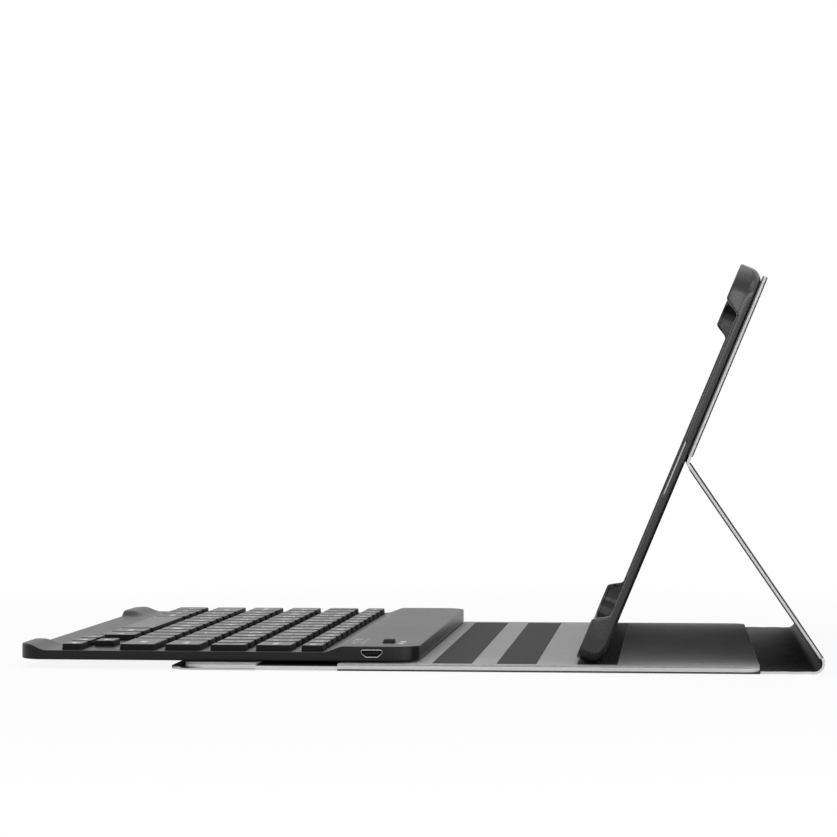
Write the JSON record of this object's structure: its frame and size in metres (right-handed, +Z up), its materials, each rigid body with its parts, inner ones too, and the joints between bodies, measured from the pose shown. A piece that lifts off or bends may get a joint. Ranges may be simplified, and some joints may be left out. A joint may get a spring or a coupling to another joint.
{
  "type": "tablet keyboard case",
  "caption": "Folio case standing open: leaning clip-in shell on a folding strut, grip-striped cover panel, closure flap and a loose low keyboard lying across the front.",
  "frame": {"origin": "centre of the case's box, on the table, with the case standing open", "axes": "+X to the user's right, +Y away from the user towards the spine, +Z up from the table"},
  "size_m": [0.2584, 0.3244, 0.1624],
  "materials": {
    "outer_leather": "fine-grained black leatherette",
    "lining": "charcoal suede-like lining",
    "board": "light grey binder's board, seen at the cut edges",
    "grip": "matte black grip strips",
    "shell": "satin black moulding",
    "bond": "adhesive sheet",
    "steel": "bright strip",
    "magnet": "nickel-plated magnet",
    "casing": "fine textured black",
    "keycap": "matte black with white legends",
    "membrane": "printed film",
    "dome": "silicone domes",
    "circuit": "green solder mask",
    "ribbon": "polyimide film",
    "cell": "foil pouch",
    "lead": "insulated wire",
    "port": "tinned steel",
    "knob": "ribbed black",
    "lamp": "clear diffuser",
    "foot": "matte rubber",
    "screw": "zinc-plated"
  },
  "bodies": {
    "base": {"base_skin": "outer_leather", "base_board": "board", "base_lining": "lining", "grip_strips": "grip", "base_magnets": "magnet", "flap_fold": "outer_leather", "spine": "outer_leather"},
    "flap": {"flap_skin": "outer_leather", "flap_board": "board", "flap_lining": "lining", "flap_magnets": "magnet"},
    "strut": {"strut_skin": "outer_leather", "strut_board": "board", "strut_lining": "lining", "crease_strip": "outer_leather"},
    "shell": {"back_skin": "outer_leather", "back_board": "board", "back_bond": "bond", "shell_plate": "shell", "shell_rim": "shell", "foot_steels": "steel"},
    "keyboard": {"bottom_cover": "casing", "top_cover": "casing", "key_plate": "steel", "membrane": "membrane", "key_domes": "dome", "ribbon_tail": "ribbon", "circuit_board": "circuit", "battery": "cell", "battery_leads": "lead", "usb_socket": "port", "switch_body": "port", "led_windows": "lamp", "rubber_feet": "foot", "case_screws": "screw", "keyboard_magnets": "magnet"},
    "switch_knob": {"switch_knob": "knob"},
    "fn_key": {"fn_key": "keycap"},
    "control_key": {"control_key": "keycap"},
    "alt_key": {"alt_key": "keycap"},
    "meta_key": {"meta_key": "keycap"},
    "space_bar": {"space_bar": "keycap"},
    "right_meta_key": {"right_meta_key": "keycap"},
    "right_alt_key": {"right_alt_key": "keycap"},
    "left_shift_key": {"left_shift_key": "keycap"},
    "lower_letter_keys": {"lower_letter_keys": "keycap"},
    "right_shift_key": {"right_shift_key": "keycap"},
    "caps_key": {"caps_key": "keycap"},
    "home_letter_keys": {"home_letter_keys": "keycap"},
    "enter_key": {"enter_key": "keycap"},
    "tab_key": {"tab_key": "keycap"},
    "upper_letter_keys": {"upper_letter_keys": "keycap"},
    "number_keys": {"number_keys": "keycap"},
    "backspace_key": {"backspace_key": "keycap"},
    "escape_key": {"escape_key": "keycap"},
    "function_keys": {"function_keys": "keycap"},
    "left_arrow_key": {"left_arrow_key": "keycap"},
    "down_arrow_key": {"down_arrow_key": "keycap"},
    "right_arrow_key": {"right_arrow_key": "keycap"},
    "up_arrow_key": {"up_arrow_key": "keycap"}
  },
  "joints": [
    {"name": "stand_strut", "type": "hinge", "parent": "base", "child": "strut", "pos_m": [0, 0.1578, 0.0044], "axis": [1, 0, 0], "range_deg": [-18, 24], "deforming": ["spine"]},
    {"name": "back_crease", "type": "hinge", "parent": "strut", "child": "shell", "pos_m": [0, 0.10827, 0.08314], "axis": [1, 0, 0], "range_deg": [-54, 41], "deforming": ["crease_strip"]},
    {"name": "keyboard_lift", "type": "slide", "parent": "base", "child": "keyboard", "axis": [0, 0, 1], "range_m": [0, 0.1]},
    {"name": "flap_fold_up", "type": "hinge", "parent": "base", "child": "flap", "pos_m": [0, -0.0477, 0.0006], "axis": [-1, 0, 0], "range_deg": [0, 90], "deforming": ["flap_fold"]},
    {"name": "power_switch", "type": "slide", "parent": "keyboard", "child": "switch_knob", "axis": [1, 0, 0], "range_m": [0, 0.004]},
    {"name": "fn_press", "type": "slide", "parent": "keyboard", "child": "fn_key", "axis": [0, 0, -1], "range_m": [0, 0.0015], "stiffness_N_per_m": 80, "springref_m": -0.0015},
    {"name": "control_press", "type": "slide", "parent": "keyboard", "child": "control_key", "axis": [0, 0, -1], "range_m": [0, 0.0015], "stiffness_N_per_m": 80, "springref_m": -0.0015},
    {"name": "alt_press", "type": "slide", "parent": "keyboard", "child": "alt_key", "axis": [0, 0, -1], "range_m": [0, 0.0015], "stiffness_N_per_m": 80, "springref_m": -0.0015},
    {"name": "meta_press", "type": "slide", "parent": "keyboard", "child": "meta_key", "axis": [0, 0, -1], "range_m": [0, 0.0015], "stiffness_N_per_m": 80, "springref_m": -0.0015},
    {"name": "space_bar_press", "type": "slide", "parent": "keyboard", "child": "space_bar", "axis": [0, 0, -1], "range_m": [0, 0.0015], "stiffness_N_per_m": 160, "springref_m": -0.0015},
    {"name": "right_meta_press", "type": "slide", "parent": "keyboard", "child": "right_meta_key", "axis": [0, 0, -1], "range_m": [0, 0.0015], "stiffness_N_per_m": 80, "springref_m": -0.0015},
    {"name": "right_alt_press", "type": "slide", "parent": "keyboard", "child": "right_alt_key", "axis": [0, 0, -1], "range_m": [0, 0.0015], "stiffness_N_per_m": 80, "springref_m": -0.0015},
    {"name": "left_shift_press", "type": "slide", "parent": "keyboard", "child": "left_shift_key", "axis": [0, 0, -1], "range_m": [0, 0.0015], "stiffness_N_per_m": 80, "springref_m": -0.0015},
    {"name": "lower_letter_press", "type": "slide", "parent": "keyboard", "child": "lower_letter_keys", "axis": [0, 0, -1], "range_m": [0, 0.0015], "stiffness_N_per_m": 800, "springref_m": -0.0015},
    {"name": "right_shift_press", "type": "slide", "parent": "keyboard", "child": "right_shift_key", "axis": [0, 0, -1], "range_m": [0, 0.0015], "stiffness_N_per_m": 80, "springref_m": -0.0015},
    {"name": "caps_press", "type": "slide", "parent": "keyboard", "child": "caps_key", "axis": [0, 0, -1], "range_m": [0, 0.0015], "stiffness_N_per_m": 80, "springref_m": -0.0015},
    {"name": "home_letter_press", "type": "slide", "parent": "keyboard", "child": "home_letter_keys", "axis": [0, 0, -1], "range_m": [0, 0.0015], "stiffness_N_per_m": 880, "springref_m": -0.0015},
    {"name": "enter_press", "type": "slide", "parent": "keyboard", "child": "enter_key", "axis": [0, 0, -1], "range_m": [0, 0.0015], "stiffness_N_per_m": 80, "springref_m": -0.0015},
    {"name": "tab_press", "type": "slide", "parent": "keyboard", "child": "tab_key", "axis": [0, 0, -1], "range_m": [0, 0.0015], "stiffness_N_per_m": 80, "springref_m": -0.0015},
    {"name": "upper_letter_press", "type": "slide", "parent": "keyboard", "child": "upper_letter_keys", "axis": [0, 0, -1], "range_m": [0, 0.0015], "stiffness_N_per_m": 1040, "springref_m": -0.0015},
    {"name": "number_press", "type": "slide", "parent": "keyboard", "child": "number_keys", "axis": [0, 0, -1], "range_m": [0, 0.0015], "stiffness_N_per_m": 1040, "springref_m": -0.0015},
    {"name": "backspace_press", "type": "slide", "parent": "keyboard", "child": "backspace_key", "axis": [0, 0, -1], "range_m": [0, 0.0015], "stiffness_N_per_m": 80, "springref_m": -0.0015},
    {"name": "escape_press", "type": "slide", "parent": "keyboard", "child": "escape_key", "axis": [0, 0, -1], "range_m": [0, 0.0015], "stiffness_N_per_m": 80, "springref_m": -0.0015},
    {"name": "function_press", "type": "slide", "parent": "keyboard", "child": "function_keys", "axis": [0, 0, -1], "range_m": [0, 0.0015], "stiffness_N_per_m": 1040, "springref_m": -0.0015},
    {"name": "left_arrow_press", "type": "slide", "parent": "keyboard", "child": "left_arrow_key", "axis": [0, 0, -1], "range_m": [0, 0.0015], "stiffness_N_per_m": 80, "springref_m": -0.0015},
    {"name": "down_arrow_press", "type": "slide", "parent": "keyboard", "child": "down_arrow_key", "axis": [0, 0, -1], "range_m": [0, 0.0015], "stiffness_N_per_m": 80, "springref_m": -0.0015},
    {"name": "right_arrow_press", "type": "slide", "parent": "keyboard", "child": "right_arrow_key", "axis": [0, 0, -1], "range_m": [0, 0.0015], "stiffness_N_per_m": 80, "springref_m": -0.0015},
    {"name": "up_arrow_press", "type": "slide", "parent": "keyboard", "child": "up_arrow_key", "axis": [0, 0, -1], "range_m": [0, 0.0015], "stiffness_N_per_m": 80, "springref_m": -0.0015}
  ],
  "couplings": [
    {"joint": "back_crease", "follows": "stand_strut", "ratio": -2.21},
    {"joint": "flap_fold_up", "follows": "keyboard_lift", "rad_per_m": 15.7}
  ]
}
